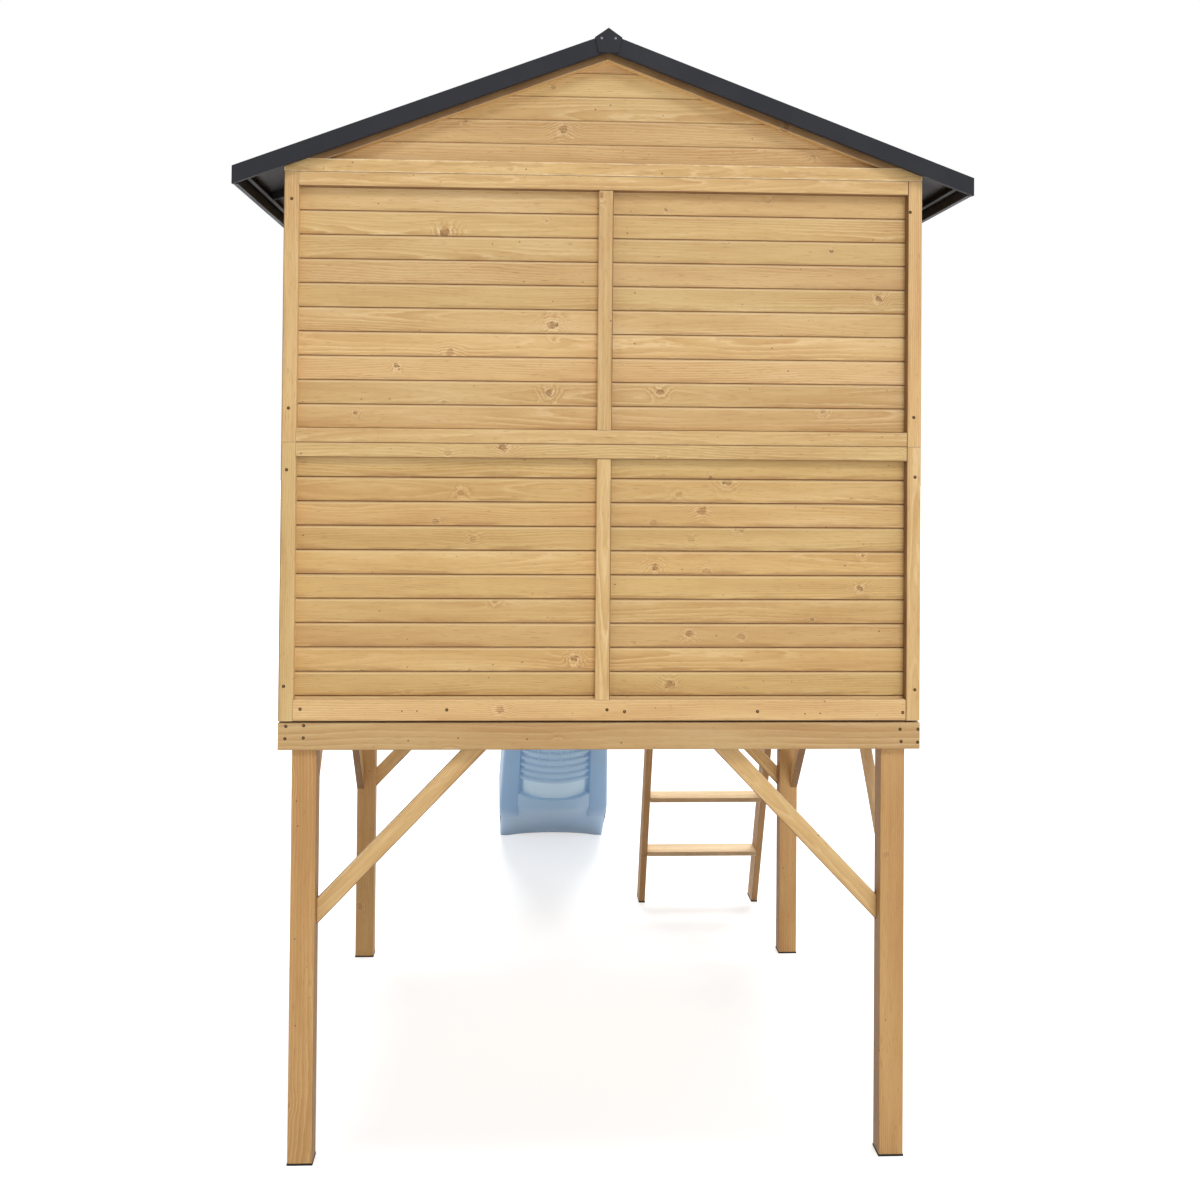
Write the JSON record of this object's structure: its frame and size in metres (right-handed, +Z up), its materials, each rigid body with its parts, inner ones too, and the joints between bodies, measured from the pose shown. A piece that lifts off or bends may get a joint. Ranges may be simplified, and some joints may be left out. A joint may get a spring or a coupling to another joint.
{
  "type": "playhouse with slide",
  "caption": "Raised timber playhouse on square posts with a clad cabin, dark pitched roof, railed verandah, ladder and moulded blue slide.",
  "frame": {"origin": "centre of the overall plan at ground level", "axes": "+X to the right seen from behind the house, +Y from the rear wall towards the slide, +Z up"},
  "size_m": [1.936, 3.4486, 2.963],
  "materials": {
    "timber": "stained planed softwood, satin",
    "cladding": "stained softwood boards, satin",
    "deck": "stained softwood deck boards, satin",
    "roof_dark": "near-black textured moulding",
    "slide_blue": "muted blue moulded plastic, satin",
    "pad_black": "matt black",
    "ironmongery": "black coated steel",
    "clear_pane": "clear sheet"
  },
  "bodies": {
    "house": {"balusters": "timber", "balustrade_rails": "timber", "deck_boards": "deck", "door_hinge_fixed": "ironmongery", "eave_plates": "timber", "eave_trims": "roof_dark", "floor_joists": "timber", "foot_pads": "pad_black", "front_beam": "timber", "front_braces": "timber", "front_gable_boards": "cladding", "front_gable_frame": "timber", "front_wall_boards": "cladding", "front_wall_frame": "timber", "ladder_rails": "timber", "ladder_treads": "timber", "left_beam": "timber", "left_wall_boards": "cladding", "left_wall_frame": "timber", "post_front_left": "timber", "post_front_right": "timber", "post_rear_left": "timber", "post_rear_right": "timber", "purlins": "timber", "rail_posts": "timber", "rear_beam": "timber", "rear_braces": "timber", "rear_gable_boards": "cladding", "rear_gable_frame": "timber", "rear_lower_boards": "cladding", "rear_lower_frame": "timber", "rear_upper_boards": "cladding", "rear_upper_frame": "timber", "ridge_beam": "timber", "ridge_cap": "roof_dark", "ridge_end_caps": "roof_dark", "right_beam": "timber", "right_wall_boards": "cladding", "right_wall_frame": "timber", "roof_panels_left": "roof_dark", "roof_panels_right": "roof_dark", "side_braces": "timber", "side_window_bars": "timber", "side_window_panes": "clear_pane", "slide_chute": "slide_blue", "turn_button_screw": "ironmongery", "verandah_gable_frame": "timber", "verandah_headers": "timber", "verandah_posts": "timber", "verge_trims": "roof_dark", "window_hinge_fixed": "ironmongery"},
    "door": {"door_boards": "cladding", "door_ledges": "timber", "door_pull": "timber", "door_hinge_moving": "ironmongery"},
    "window": {"window_sash": "timber", "window_pane": "clear_pane", "window_hinge_moving": "ironmongery"},
    "button": {"turn_button": "timber"}
  },
  "joints": [
    {"name": "door_hinge", "type": "hinge", "parent": "house", "child": "door", "pos_m": [-0.6585, -0.57481, 1.761], "axis": [0, 0, 1], "range_deg": [0, 95]},
    {"name": "window_hinge", "type": "hinge", "parent": "house", "child": "window", "pos_m": [0.1515, -0.57481, 2.2295], "axis": [0, 0, 1], "range_deg": [0, 95]},
    {"name": "button_turn", "type": "hinge", "parent": "house", "child": "button", "pos_m": [-0.161, -0.58031, 1.8545], "axis": [0, 1, 0], "range_deg": [0, 90]}
  ]
}
